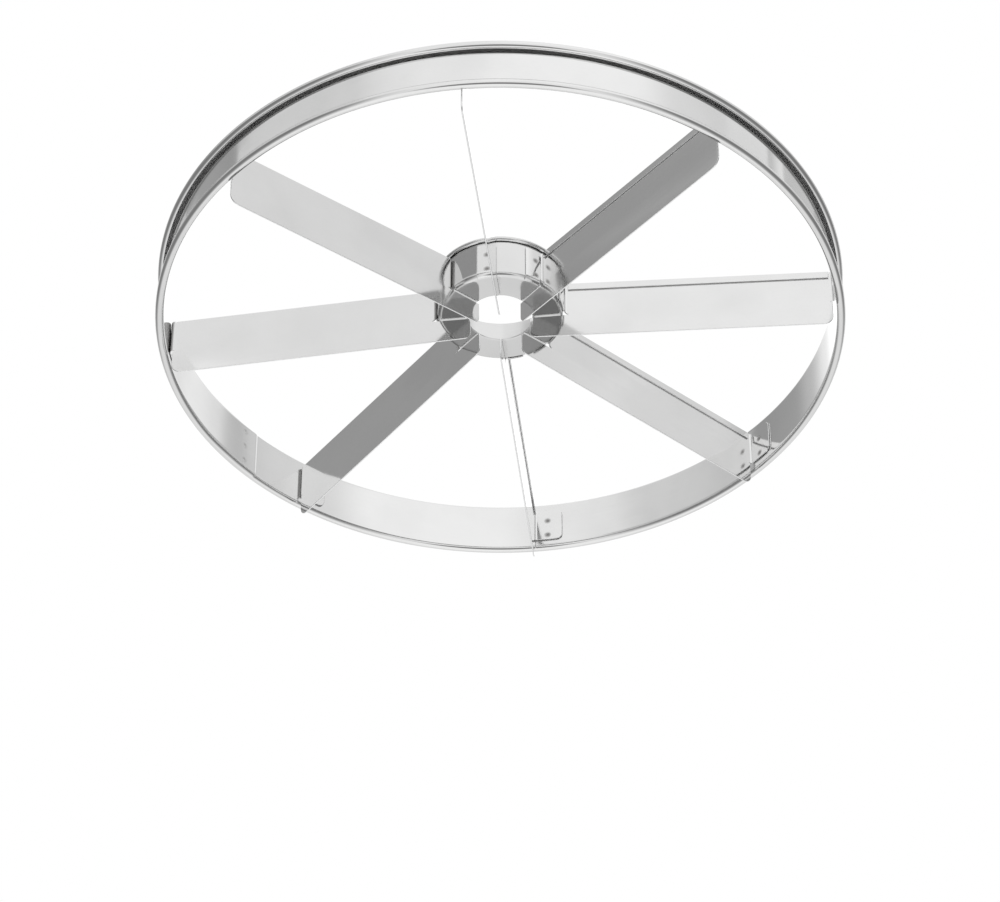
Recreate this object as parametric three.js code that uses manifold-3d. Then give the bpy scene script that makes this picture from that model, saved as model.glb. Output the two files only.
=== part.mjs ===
// Cake portion marker: eight upright sheet-steel blades between a rolled ring and a small cup-shaped hub.
// Each blade is one folded blank with a hemmed top edge and two bent tabs, spot-welded to ring and hub.
// Millimetres, +Z up; the origin is on the ring's axis, level with the lowest corners of the blades.
import * as THREE from 'three';
import { mergeVertices } from 'three/addons/utils/BufferGeometryUtils.js';
import Module from 'manifold-3d';

const wasm = await Module();
wasm.setup();

// Sweep of every rolled edge, from the wall to its free end
const BEAD_SWEEP = 1.5 * Math.PI;

// Driving dimensions: ring
const RING_DIAMETER = 280; // over the rolled beads
const RING_SHEET = 0.7;
const RING_BEAD = 3.6; // outside diameter of a rolled bead
const RING_LIFT = 8; // lower bead above the blades' lowest corners
const RING_OVER = 4.3; // upper bead above the blades' top edges
const LAP_HEADING = 146.5; // degrees, the free edge of the strip's overlapped end
const LAP_LENGTH = 13; // overlap at full thickness
const LAP_RUNOUT = 22; // further length over which the overlap eases into the wall

// Driving dimensions: hub
const HUB_DIAMETER = 51.2; // outside of the wall
const HUB_SHEET = 0.7;
const HUB_BEND = 1.2; // inside radius between the wall and the bottom plate
const HUB_HOLE = 26.2;
const HUB_BEAD = 2.1; // outside diameter of the rolled rim
const HUB_OVER = 3.85; // rim above the blades' top edges

// Driving dimensions: blades
const BLADE_COUNT = 8;
const BLADE_HEIGHT = 28.4;
const BLADE_SHEET = 0.6;
const BLADE_RISE = 5.3; // hub end above ring end
const BLADE_OFFSET = 1.2; // blade beside the radial line
const HEM_DEPTH = 3.6;
const HEM_GAP = 0.3;
const BEND_RADIUS = 0.9; // inside radius of the tab bends
const RING_CORNER = 4; // lower corner at the ring
const TONGUE_CORNER = 2.8; // lower corner of the tongue under the hub
const TONGUE_DEPTH = 11.5; // tongue below the hub's plate, measured at the hub's wall
const TONGUE_REACH = 1.1; // tongue past the edge of the hub's hole
const RING_TAB_WIDTH = 10.8;
const RING_TAB_FOOT = 3.9; // tab above the ring's lower edge
const RING_TAB_WELD = 4.5; // row of welds past the bend
const RING_TAB_CORNER = 2.6;
const RING_WELD_SINK = 1.8; // welds below the middle of the tab
const HUB_TAB_WIDTH = 6.8;
const HUB_TAB_WELD = 2.3; // row of welds past the bend
const HUB_WELD_SINK = 2.4; // welds below the middle of the tab
const HUB_LIP_TURN = 65; // degrees that the tab's lower end turns round the hub's bend
const EAR_WIDTH = 0.3; // flat strip between the hem's end and a bend
const RELIEF = 0.35; // width of the slits at the bends and the hem's ends

// Driving dimensions: spot welds and clearances
const WELD_DIAMETER = 2.4;
const WELD_DENT = 0.15;
const WELD_PITCH = 7.9;
const SEAT_GAP = 0.3; // between two welded pieces
const END_GAP = 1.4; // between a blade's lower end and the ring's wall

// Facets
const RING_FACETS = 96;
const HUB_FACETS = 56;
const ARC_STEPS = 6;
const WELD_FACETS = 10;

// Sizes that follow
const ringInner = RING_DIAMETER / 2 - RING_BEAD;
const ringTop = BLADE_HEIGHT + RING_OVER;
const hubRadius = HUB_DIAMETER / 2;
const bladeEnd = ringInner - END_GAP;
const tongueEnd = HUB_HOLE / 2 - TONGUE_REACH;
const slope = BLADE_RISE / (bladeEnd - hubRadius);
const slopeAngle = Math.atan(slope);
const slopeStretch = Math.hypot(1, slope);
const cornerDrop = RING_CORNER * (slope + slopeStretch - 1);
const hubBottom = lowerEdge(hubRadius) + TONGUE_DEPTH + SEAT_GAP;
const hubTop = lowerEdge(hubRadius) + BLADE_HEIGHT + HUB_OVER;
const foldRadius = (BLADE_SHEET + HEM_GAP) / 2;
const bendMiddle = BEND_RADIUS + BLADE_SHEET / 2;
const bendSide = BLADE_OFFSET - bendMiddle;
const quarter = Math.PI / 2;

// Height of a blade's lower edge at a radius; the rounded outer corner touches zero
function lowerEdge(radius) {
  return slope * (bladeEnd - radius) - cornerDrop;
}

// Height of the line where the hem starts to turn over
function foldLine(radius) {
  return lowerEdge(radius) + BLADE_HEIGHT - (foldRadius + BLADE_SHEET / 2) * slopeStretch;
}

// Closed solids and their joins and cuts
function solidOf(geometry) {
  const bare = geometry.clone();
  bare.deleteAttribute('normal');
  bare.deleteAttribute('uv');
  const merged = mergeVertices(bare, 1e-4);
  const vertProperties = new Float32Array(merged.attributes.position.array);
  const triVerts = new Uint32Array(merged.index.array);
  return new wasm.Manifold(new wasm.Mesh({ numProp: 3, vertProperties, triVerts }));
}

function geometryOf(solid) {
  const mesh = solid.getMesh();
  const geometry = new THREE.BufferGeometry();
  geometry.setAttribute('position', new THREE.BufferAttribute(new Float32Array(mesh.vertProperties), 3));
  geometry.setIndex(new THREE.BufferAttribute(new Uint32Array(mesh.triVerts), 1));
  geometry.computeVertexNormals();
  return geometry;
}

// A closed profile of radius and height, turned about Z
function turned(outline, facets) {
  const points = outline.getPoints(ARC_STEPS / 2);
  const first = points[0];
  if (points[points.length - 1].distanceTo(first) > 1e-6) points.push(first.clone());
  return new THREE.LatheGeometry(points, facets).rotateX(quarter);
}

// A shallow double cone, seated with its axis along a direction
function weldDent(at, outward) {
  const rim = WELD_DIAMETER / 2;
  const profile = [[0, -WELD_DENT], [rim, 0], [0, WELD_DENT]].map(([r, y]) => new THREE.Vector2(r, y));
  const turn = new THREE.Quaternion().setFromUnitVectors(new THREE.Vector3(0, 1, 0), outward);
  const cone = new THREE.LatheGeometry(profile, WELD_FACETS).applyQuaternion(turn);
  return solidOf(cone.translate(at.x, at.y, at.z));
}

// Outer ring: a plain wall with both edges rolled outward, closed by a welded overlap
function ringOutline() {
  const outer = RING_BEAD / 2;
  const inner = outer - RING_SHEET;
  const middle = ringInner + outer;
  const upper = ringTop - outer;
  const lower = RING_LIFT + outer;
  const outline = new THREE.Shape();
  outline.absarc(middle, lower, outer, Math.PI, Math.PI + BEAD_SWEEP, false);
  outline.absarc(middle, lower, inner, Math.PI + BEAD_SWEEP, Math.PI, true);
  outline.absarc(middle, upper, inner, Math.PI, Math.PI - BEAD_SWEEP, true);
  outline.absarc(middle, upper, outer, Math.PI - BEAD_SWEEP, Math.PI, false);
  return outline;
}

function lapLayer() {
  const start = THREE.MathUtils.degToRad(LAP_HEADING);
  const full = start + LAP_LENGTH / ringInner;
  const end = full + LAP_RUNOUT / ringInner;
  const buried = ringInner + RING_SHEET / 2;
  const plan = new THREE.Shape();
  plan.absarc(0, 0, ringInner - RING_SHEET, start, full, false);
  plan.absarc(0, 0, buried, end, start, true);
  const depth = ringTop - RING_LIFT - RING_BEAD;
  const layer = new THREE.ExtrudeGeometry(plan, { depth, bevelEnabled: false, curveSegments: ARC_STEPS });
  return layer.translate(0, 0, RING_LIFT + RING_BEAD / 2);
}

function lapWelds() {
  const heading = THREE.MathUtils.degToRad(LAP_HEADING) + LAP_LENGTH / 2 / ringInner;
  const radius = ringInner - RING_SHEET;
  const inward = new THREE.Vector3(-Math.cos(heading), -Math.sin(heading), 0);
  const middle = (ringTop + RING_LIFT) / 2;
  return [-1, 0, 1].map((step) => {
    const at = inward.clone().multiplyScalar(-radius).setZ(middle + step * WELD_PITCH);
    return weldDent(at, inward);
  });
}

function ringGeometry() {
  let ring = solidOf(turned(ringOutline(), RING_FACETS)).add(solidOf(lapLayer()));
  for (const dent of lapWelds()) {
    ring = ring.subtract(dent);
  }
  return geometryOf(ring);
}

// Hub: an open cup with a holed bottom plate and a rim rolled outward
function hubGeometry() {
  const outer = HUB_BEAD / 2;
  const inner = outer - HUB_SHEET;
  const rimMiddle = hubRadius - HUB_SHEET + outer;
  const rimHeight = hubTop - outer;
  const bendRadius = hubRadius - HUB_SHEET - HUB_BEND;
  const bendHeight = hubBottom + HUB_SHEET + HUB_BEND;
  const outline = new THREE.Shape();
  outline.absarc(bendRadius, bendHeight, HUB_BEND + HUB_SHEET, -quarter, 0, false);
  outline.absarc(rimMiddle, rimHeight, inner, Math.PI, Math.PI - BEAD_SWEEP, true);
  outline.absarc(rimMiddle, rimHeight, outer, Math.PI - BEAD_SWEEP, Math.PI, false);
  outline.absarc(bendRadius, bendHeight, HUB_BEND, 0, -quarter, true);
  outline.lineTo(HUB_HOLE / 2, hubBottom + HUB_SHEET);
  outline.lineTo(HUB_HOLE / 2, hubBottom);
  return turned(outline, HUB_FACETS);
}

// Blade: one flat blank, placed patch by patch on its folded middle surface and given its thickness.
// In every patch the first coordinate runs outward along the blade, the second runs up the blank.
const ringMiddle = ringInner - SEAT_GAP - BLADE_SHEET / 2;
const hubMiddle = hubRadius + SEAT_GAP + BLADE_SHEET / 2;
const ringBend = Math.sqrt((ringMiddle - bendMiddle) ** 2 - bendSide ** 2);
const hubBendLine = Math.sqrt((hubMiddle + bendMiddle) ** 2 - bendSide ** 2);
const ringTab = {
  low: RING_LIFT + RING_TAB_FOOT,
  high: lowerEdge(bladeEnd) + BLADE_HEIGHT,
  width: RING_TAB_WIDTH,
  corner: RING_TAB_CORNER,
  weld: RING_TAB_WELD,
  sink: RING_WELD_SINK,
};
const hubTab = {
  low: hubBottom + HUB_SHEET + HUB_BEND,
  high: lowerEdge(hubBendLine) + BLADE_HEIGHT,
  width: HUB_TAB_WIDTH,
  corner: 0,
  weld: HUB_TAB_WELD,
  sink: HUB_WELD_SINK,
};
const hemStart = hubBendLine + EAR_WIDTH + RELIEF;
const hemEnd = ringBend - EAR_WIDTH - RELIEF;

function placed(x, y, z, normalX, normalY, normalZ) {
  return { at: new THREE.Vector3(x, y, z), normal: new THREE.Vector3(normalX, normalY, normalZ) };
}

function onPlate(along, up) {
  return placed(along, BLADE_OFFSET, up, 0, -1, 0);
}

// Around a tab's bend, then along the wall it is welded to; way is 1 at the ring and -1 at the hub
function onTab(centre, wallRadius, way) {
  const heading = Math.atan2(bendSide, centre);
  const sweep = quarter - way * heading;
  return (past, up) => {
    const turn = (way * past) / bendMiddle;
    if (turn <= sweep) {
      const angle = quarter - way * turn;
      const x = Math.cos(angle);
      const y = Math.sin(angle);
      return placed(centre + bendMiddle * x, bendSide + bendMiddle * y, up, -x, -y, 0);
    }
    const angle = heading - (turn - sweep) * (bendMiddle / wallRadius);
    const x = Math.cos(angle);
    const y = Math.sin(angle);
    return placed(wallRadius * x, wallRadius * y, up, -way * x, -way * y, 0);
  };
}

function bendLength(centre, way) {
  return bendMiddle * (quarter - way * Math.atan2(bendSide, centre));
}

// Over the hem's fold, then down beside the blade
function onHem(along, past) {
  const turn = Math.min(past / foldRadius, Math.PI);
  const straight = Math.max(past - Math.PI * foldRadius, 0);
  const side = BLADE_OFFSET - foldRadius * (1 - Math.cos(turn));
  const up = foldRadius * Math.sin(turn) - straight;
  const x = along + up * Math.sin(slopeAngle);
  const z = foldLine(along) + up * Math.cos(slopeAngle);
  const lean = -Math.sin(turn);
  return placed(x, side, z, lean * Math.sin(slopeAngle), -Math.cos(turn), lean * Math.cos(slopeAngle));
}

function plateBlank() {
  const tongueTop = hubBottom - SEAT_GAP;
  const edgeTurn = 3 * quarter - slopeAngle;
  const tongueMiddle = tongueEnd + TONGUE_CORNER;
  const cornerMiddle = bladeEnd - RING_CORNER;
  const tongueHeight = lowerEdge(tongueMiddle) + TONGUE_CORNER * slopeStretch;
  const cornerHeight = lowerEdge(cornerMiddle) + RING_CORNER * slopeStretch;
  const outline = new THREE.Shape();
  outline.absarc(tongueMiddle, tongueHeight, TONGUE_CORNER, Math.PI, edgeTurn, false);
  outline.absarc(cornerMiddle, cornerHeight, RING_CORNER, edgeTurn, 2 * Math.PI, false);
  outline.lineTo(bladeEnd, ringTab.low - RELIEF);
  outline.lineTo(ringBend - RELIEF, ringTab.low - RELIEF);
  outline.lineTo(ringBend - RELIEF, ringTab.low);
  outline.lineTo(ringBend, ringTab.low);
  outline.lineTo(ringBend, ringTab.high);
  outline.lineTo(hemEnd + RELIEF, ringTab.high);
  outline.lineTo(hemEnd + RELIEF, foldLine(hemEnd) - RELIEF);
  outline.lineTo(hemEnd, foldLine(hemEnd) - RELIEF);
  outline.lineTo(hemEnd, foldLine(hemEnd));
  outline.lineTo(hemStart, foldLine(hemStart));
  outline.lineTo(hemStart, foldLine(hemStart) - RELIEF);
  outline.lineTo(hemStart - RELIEF, foldLine(hemStart) - RELIEF);
  outline.lineTo(hemStart - RELIEF, hubTab.high);
  outline.lineTo(hubBendLine, hubTab.high);
  outline.lineTo(hubBendLine, hubTab.low);
  outline.lineTo(hubBendLine + RELIEF, hubTab.low);
  outline.lineTo(hubBendLine + RELIEF, tongueTop);
  outline.lineTo(tongueEnd, tongueTop);
  const points = outline.getPoints(ARC_STEPS / 2);
  return { points, faces: THREE.ShapeUtils.triangulateShape(points, []), place: onPlate };
}

// Columns of points joined by strips of two triangles; every column has as many points
function stripBlank(columns, place) {
  const rows = columns[0].length;
  const faces = [];
  for (let column = 1; column < columns.length; column += 1) {
    for (let row = 1; row < rows; row += 1) {
      const b = column * rows + row;
      const a = b - rows;
      faces.push([a - 1, b - 1, b], [a - 1, b, a]);
    }
  }
  return { points: columns.flat(), faces, place };
}

function spread(from, to, steps) {
  return Array.from({ length: steps + 1 }, (_, step) => from + ((to - from) * step) / steps);
}

// Columns across a tab's flat, from its bend to its free edge or to the start of its rounded corners
function flatColumns(tab, centre, way) {
  const bend = bendLength(centre, way);
  return spread(bend, bend + tab.width - tab.corner, ARC_STEPS / 2);
}

// A tab's columns run from the bend line through the bend and the flat to the free corners
function tabBlank(tab, centre, wallRadius, way) {
  const flat = flatColumns(tab, centre, way);
  const straight = flat[flat.length - 1];
  const bendColumns = spread(0, flat[0], ARC_STEPS).map((past) => [past, 0]);
  const cornerColumns = spread(0, quarter, tab.corner ? ARC_STEPS : 0).slice(1).map((turn) => {
    return [straight + tab.corner * Math.sin(turn), tab.corner * (1 - Math.cos(turn))];
  });
  const wallColumns = flat.slice(1).map((past) => [past, 0]);
  const columns = [...bendColumns, ...wallColumns, ...cornerColumns].map(([past, inset]) => [
    new THREE.Vector2(way * past, tab.low + inset),
    new THREE.Vector2(way * past, tab.high - inset),
  ]);
  return stripBlank(way > 0 ? columns : columns.reverse(), onTab(centre, wallRadius, way));
}

// The hub tab's lower end, turned in round the hub's bend
function lipBlank() {
  const radius = HUB_BEND + HUB_SHEET + SEAT_GAP + BLADE_SHEET / 2;
  const onWall = onTab(hubBendLine, hubMiddle, -1);
  const place = (past, wrap) => {
    const turn = wrap / radius;
    const { at, normal } = onWall(past, hubTab.low);
    at.addScaledVector(normal, radius * (Math.cos(turn) - 1)).setZ(hubTab.low - radius * Math.sin(turn));
    return { at, normal: normal.multiplyScalar(Math.cos(turn)).setZ(-Math.sin(turn)) };
  };
  const wraps = spread(radius * THREE.MathUtils.degToRad(HUB_LIP_TURN), 0, ARC_STEPS);
  const columns = flatColumns(hubTab, hubBendLine, -1).reverse();
  return stripBlank(columns.map((past) => wraps.map((wrap) => new THREE.Vector2(-past, wrap))), place);
}

function hemBlank() {
  const fold = Math.PI * foldRadius;
  const rows = [...spread(0, fold, ARC_STEPS), fold + HEM_DEPTH - foldRadius - BLADE_SHEET / 2];
  const columns = [hemStart, hemEnd].map((along) => rows.map((past) => new THREE.Vector2(along, past)));
  return stripBlank(columns, onHem);
}

// Joins patches along their shared edges and gives the sheet two faces and a rim
function foldedSheet(patches, thickness) {
  const vertices = [];
  const known = new Map();
  const positions = [];
  const triangles = [];
  const edges = new Map();
  const numberOf = ({ at, normal }) => {
    const key = at.toArray().map((value) => value.toFixed(3)).join(' ');
    if (!known.has(key)) {
      known.set(key, vertices.length);
      vertices.push({ at, normal });
    }
    return known.get(key);
  };
  for (const patch of patches) {
    const numbers = patch.points.map((point) => numberOf(patch.place(point.x, point.y)));
    for (const face of patch.faces) {
      const [a, b, c] = face.map((corner) => numbers[corner]);
      triangles.push([a, b, c], [c, b, a].map((corner) => ~corner));
      for (const [from, to] of [[a, b], [b, c], [c, a]]) {
        edges.set(`${from} ${to}`, [from, to]);
      }
    }
  }
  for (const [from, to] of edges.values()) {
    if (!edges.has(`${to} ${from}`)) {
      triangles.push([to, from, ~from], [to, ~from, ~to]);
    }
  }
  for (const side of [0.5, -0.5]) {
    for (const { at, normal } of vertices) {
      positions.push(...at.clone().addScaledVector(normal, side * thickness).toArray());
    }
  }
  const geometry = new THREE.BufferGeometry();
  geometry.setAttribute('position', new THREE.Float32BufferAttribute(positions, 3));
  geometry.setIndex(triangles.flat().map((corner) => (corner < 0 ? vertices.length + ~corner : corner)));
  return geometry;
}

// Two dents in a vertical row on a tab's flat
function tabWelds(tab, centre, wallRadius, way) {
  const place = onTab(centre, wallRadius, way);
  const past = bendLength(centre, way) + tab.weld;
  const middle = (tab.low + tab.high) / 2 - tab.sink;
  return [-0.5, 0.5].map((step) => {
    const { at, normal } = place(way * past, middle + step * WELD_PITCH);
    return weldDent(at.addScaledVector(normal, BLADE_SHEET / 2), normal);
  });
}

function bladeGeometry() {
  const tabs = [
    [ringTab, ringBend, ringMiddle, 1],
    [hubTab, hubBendLine, hubMiddle, -1],
  ];
  const patches = [plateBlank(), hemBlank(), lipBlank(), ...tabs.map((tab) => tabBlank(...tab))];
  let blade = solidOf(foldedSheet(patches, BLADE_SHEET));
  for (const dent of tabs.flatMap((tab) => tabWelds(...tab))) {
    blade = blade.subtract(dent);
  }
  return geometryOf(blade);
}

// Bright sheet steel, one material for each kind of piece
function steel(color, roughness) {
  return new THREE.MeshStandardMaterial({ color, roughness, metalness: 1 });
}

function piece(name, geometry, material) {
  const mesh = new THREE.Mesh(geometry, material);
  mesh.name = name;
  return mesh;
}

const marker = new THREE.Group();
marker.name = 'cake_portion_marker';
marker.add(piece('outer_ring', ringGeometry(), steel(0xd4d6d7, 0.16)));
marker.add(piece('hub', hubGeometry(), steel(0xd0d2d3, 0.18)));

const blade = bladeGeometry();
for (let index = 0; index < BLADE_COUNT; index += 1) {
  const mesh = piece(`blade_${index + 1}`, blade, steel(0xd8dadb, 0.12));
  mesh.rotation.z = (2 * Math.PI * index) / BLADE_COUNT;
  marker.add(mesh);
}

export default marker;
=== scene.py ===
"""Looks of a cake portion marker: bright sheet-steel blades between a rolled ring and a cup-shaped hub."""

import logging
import math
from collections.abc import Callable, Sequence
from dataclasses import dataclass
from enum import Enum

import bpy
import numpy as np
from bpy.types import ID, Material, Mesh, Node, NodeSocket, NodeTree, Object
from mathutils import Matrix, Vector


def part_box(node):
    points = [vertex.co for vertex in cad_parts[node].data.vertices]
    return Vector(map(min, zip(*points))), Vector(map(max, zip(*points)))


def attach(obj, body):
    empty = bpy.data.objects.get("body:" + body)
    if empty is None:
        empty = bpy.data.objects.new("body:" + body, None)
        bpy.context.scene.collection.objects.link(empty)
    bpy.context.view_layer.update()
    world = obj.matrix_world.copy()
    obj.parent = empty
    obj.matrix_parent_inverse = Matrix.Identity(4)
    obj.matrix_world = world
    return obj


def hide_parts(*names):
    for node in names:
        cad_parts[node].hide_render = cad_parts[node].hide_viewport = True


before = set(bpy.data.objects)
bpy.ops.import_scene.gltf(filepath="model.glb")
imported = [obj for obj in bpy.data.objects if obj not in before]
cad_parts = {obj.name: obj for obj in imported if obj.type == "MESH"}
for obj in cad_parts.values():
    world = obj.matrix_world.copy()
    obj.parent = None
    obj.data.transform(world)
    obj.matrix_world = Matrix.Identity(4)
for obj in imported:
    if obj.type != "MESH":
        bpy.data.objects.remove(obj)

log = logging.getLogger("marker")

MM = 0.001
BODY = "root"
PHOTO_WIDTH = 1000
PHOTO_HEIGHT = 902
QUARTER = math.pi / 2
FULL_TURN = 2 * math.pi
ROLL_SWEEP = 1.5 * math.pi
SHARP_ANGLE = math.radians(38.0)
TINY = 1e-9
# Vertex attribute that darkens the steel: real weld heat marks, and painted shade on the outside of the
# blades' bends
WELD_HEAT_AND_BEND_SHADE = "weld"
# A point counts as inside a roll up to this share of the radius of the roll's inner face
ROLL_SLACK = 1.01

Pair = tuple[float, float]
Triple = tuple[float, float, float]
Paint = tuple[float, float, float, float]
Place = tuple[np.ndarray, np.ndarray]

UNIT: Pair = (0.0, 1.0)


class Grain(Enum):
    """Way that the polishing lines run on a piece."""

    ALONG_BLADE = "along the blade"
    ROUND_AXIS = "round the axis"


class Face(Enum):
    """Kinds of surface that a sheet shows, numbered as its material slots."""

    POLISHED = 0
    BARE = 1


class ShaderGraph:
    """Adds and links the nodes of one material or world."""

    def __init__(self, tree: NodeTree) -> None:
        """Empties the tree.

        Args:
            tree: The node tree to fill.
        """
        self.tree = tree
        tree.nodes.clear()

    def add(self, kind: str, inputs: dict[int | str, object] | None = None, **settings: object) -> Node:
        """Adds a node.

        Args:
            kind: The node's type name after "ShaderNode".
            inputs: What its sockets take, by number or name: an output to link, a number or a tuple.
            settings: Properties of the node to set.

        Returns:
            The new node.
        """
        node = self.tree.nodes.new("ShaderNode" + kind)
        for name, value in settings.items():
            setattr(node, name, value)
        for key, value in (inputs or {}).items():
            if isinstance(value, NodeSocket):
                self.tree.links.new(value, node.inputs[key])
            else:
                node.inputs[key].default_value = value
        return node

    def show(self, shader: NodeSocket, output: str = "OutputMaterial") -> None:
        """Links a shader to the tree's output."""
        self.add(output, {"Surface": shader})

    def math(self, operation: str, first: object, second: object = 0.0) -> NodeSocket:
        """Result of a Math node on two sockets or numbers."""
        return self.add("Math", {0: first, 1: second}, operation=operation).outputs[0]

    def spread(self, value: NodeSocket, limits: Pair = UNIT, results: Pair = UNIT) -> NodeSocket:
        """Maps a value from between two limits to between two results, and clamps it.

        Args:
            value: The value to map.
            limits: Values that give the first and the second result.
            results: The two results.

        Returns:
            The mapped value.
        """
        inputs = dict(zip(("From Min", "From Max", "To Min", "To Max"), (*limits, *results)))
        return self.add("MapRange", {"Value": value, **inputs}).outputs["Result"]

    def noise(self, vector: NodeSocket, cells: float, octaves: float) -> NodeSocket:
        """Value of a noise with so many cells in a metre."""
        return self.add("TexNoise", {"Vector": vector, "Scale": cells, "Detail": octaves}).outputs["Fac"]

    def facing(self, vector: NodeSocket, way: Triple) -> NodeSocket:
        """Cosine of the angle between a direction and a fixed one."""
        return self.add("VectorMath", {0: vector, 1: way}, operation="DOT_PRODUCT").outputs["Value"]

    def mix(self, share: NodeSocket, first: object, second: object) -> NodeSocket:
        """Mixture of two colours with a share of the second."""
        node = self.add("Mix", {"Factor": share, "A": first, "B": second}, data_type="RGBA")
        return node.outputs["Result"]

    def blend(self, share: NodeSocket, first: NodeSocket, second: NodeSocket) -> NodeSocket:
        """Mixture of two shaders with a share of the second."""
        return self.add("MixShader", {0: share, 1: first, 2: second}).outputs[0]


def new_material(name: str) -> tuple[Material, ShaderGraph]:
    """Starts a material.

    Args:
        name: The material's name.

    Returns:
        The material and its empty graph.
    """
    made = bpy.data.materials.new(name)
    made.use_nodes = True
    return made, ShaderGraph(made.node_tree)


def add_to_scene(name: str, data: ID) -> Object:
    """Links a new object to the scene.

    Args:
        name: The object's name.
        data: Its mesh, lamp or camera.

    Returns:
        The object.
    """
    made = bpy.data.objects.new(name, data)
    bpy.context.scene.collection.objects.link(made)
    return made


def opaque(colour: Triple) -> Paint:
    """Colour with full cover."""
    return (*colour, 1.0)


def grey(tone: float) -> Paint:
    """Opaque grey of a tone."""
    return (tone, tone, tone, 1.0)


WHITE = grey(1.0)


@dataclass(frozen=True)
class SteelFinish:
    """Bright rolled stainless sheet with fine polishing lines, faint smudges, heat-marked welds and painted
    shade on the blades' bends.
    """

    name: str
    tint: Triple
    grain: Grain
    roughness: Pair = (0.045, 0.11)
    grain_cells: float = 5200.0
    grain_octaves: float = 2.0
    grain_limits: Pair = (0.3, 0.7)
    grain_stretch: float = 0.012
    turn_stretch: float = 0.0015
    streak_share: float = 0.5
    smudge_cells: float = 34.0
    smudge_octaves: float = 5.0
    smudge_limits: Pair = (0.42, 0.72)
    smudge_share: float = 0.07
    wave_cells: float = 26.0
    wave_octaves: float = 1.0
    wave_depth: float = 0.05 * MM
    weld_heat_and_bend_shade_tint: Triple = (0.25, 0.245, 0.24)
    weld_roughness: float = 0.34

    def _grain_vector(self, graph: ShaderGraph, place: NodeSocket) -> NodeSocket:
        """Coordinates that draw noise out along the polishing lines.

        Args:
            graph: The material's nodes.
            place: The piece's own coordinates, in metres.

        Returns:
            The drawn-out coordinates.
        """
        if self.grain is Grain.ALONG_BLADE:
            stretch = (self.grain_stretch, 1.0, 1.0)
            return graph.add("Mapping", {"Vector": place, "Scale": stretch}).outputs["Vector"]
        x, y, z = graph.add("SeparateXYZ", {0: place}).outputs
        square = graph.math("ADD", graph.math("MULTIPLY", x, x), graph.math("MULTIPLY", y, y))
        turn = graph.math("MULTIPLY", graph.math("ARCTAN2", y, x), self.turn_stretch)
        return graph.add("CombineXYZ", {"X": turn, "Y": graph.math("SQRT", square), "Z": z}).outputs[0]

    def material(self) -> Material:
        """Builds the material.

        Returns:
            A metal whose tint, roughness and surface vary over the piece.
        """
        made, graph = new_material(self.name)
        place = graph.add("TexCoord").outputs["Object"]
        spot = graph.add("NewGeometry").outputs["Position"]
        lines = graph.noise(self._grain_vector(graph, place), self.grain_cells, self.grain_octaves)
        smudge = graph.spread(graph.noise(spot, self.smudge_cells, self.smudge_octaves), self.smudge_limits)
        # Weld heat marks, and the painted shade on the blades' bends, pull the colour towards the dark weld
        # tint and roughen it
        weld = graph.add("Attribute", attribute_name=WELD_HEAT_AND_BEND_SHADE).outputs["Fac"]
        dull = opaque(tuple(channel * (1.0 - self.smudge_share) for channel in self.tint))
        colour = graph.mix(smudge, opaque(self.tint), dull)
        colour = graph.mix(graph.spread(lines, results=(0.0, self.streak_share)), colour, dull)
        colour = graph.mix(weld, colour, opaque(self.weld_heat_and_bend_shade_tint))
        low, high = self.roughness
        rough = graph.spread(lines, self.grain_limits, self.roughness)
        rough = graph.math("ADD", rough, graph.math("MULTIPLY", smudge, high - low))
        rough = graph.math("ADD", rough, graph.math("MULTIPLY", weld, self.weld_roughness))
        waves = graph.noise(spot, self.wave_cells, self.wave_octaves)
        bump = graph.add("Bump", {"Strength": 1.0, "Distance": self.wave_depth, "Height": waves})
        shader = graph.add(
            "BsdfPrincipled",
            {"Metallic": 1.0, "Base Color": colour, "Roughness": rough, "Normal": bump.outputs["Normal"]},
        )
        graph.show(shader.outputs["BSDF"])
        return made


@dataclass(frozen=True)
class BareFinish:
    """Steel that no polishing reached: scored by the shear along an edge; inside a roll, a dull grey that is
    partly painted shade in the hollow.
    """

    name: str
    bright: float
    dark: float
    roughness: Pair
    metallic: float = 1.0
    score_cells: float = 2600.0
    score_octaves: float = 3.0
    score_limits: Pair = (0.35, 0.7)

    def material(self) -> Material:
        """Builds the material.

        Returns:
            A mottled surface, duller than the polished sheet.
        """
        made, graph = new_material(self.name)
        place = graph.add("TexCoord").outputs["Object"]
        score = graph.noise(place, self.score_cells, self.score_octaves)
        colour = graph.mix(graph.spread(score, self.score_limits), grey(self.bright), grey(self.dark))
        rough = graph.spread(score, results=self.roughness)
        shader = graph.add(
            "BsdfPrincipled", {"Metallic": self.metallic, "Base Color": colour, "Roughness": rough}
        )
        graph.show(shader.outputs["BSDF"])
        return made


RING_STRIP = SteelFinish("ring_bright_strip", (0.80, 0.80, 0.798), Grain.ROUND_AXIS)
# The hub's tint is darker than the ring's and the blades': painted shade over the whole hub
HUB_STEEL_SHADED = SteelFinish("hub_cup_painted_shade", (0.72, 0.72, 0.718), Grain.ROUND_AXIS)
BLADE_SHEET = SteelFinish("blade_bright_sheet", (0.81, 0.81, 0.808), Grain.ALONG_BLADE)
SHEARED_EDGE = BareFinish("sheared_edge", bright=0.94, dark=0.82, roughness=(0.20, 0.40))
# Dull matte grey inside the rolls; its grey, darker than the polished steel, is painted shade in the roll's
# hollow
ROLL_HOLLOW_SHADE = BareFinish("roll_inside_painted_shade", bright=0.64, dark=0.58, roughness=(0.80, 0.90), metallic=0.0)


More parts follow.
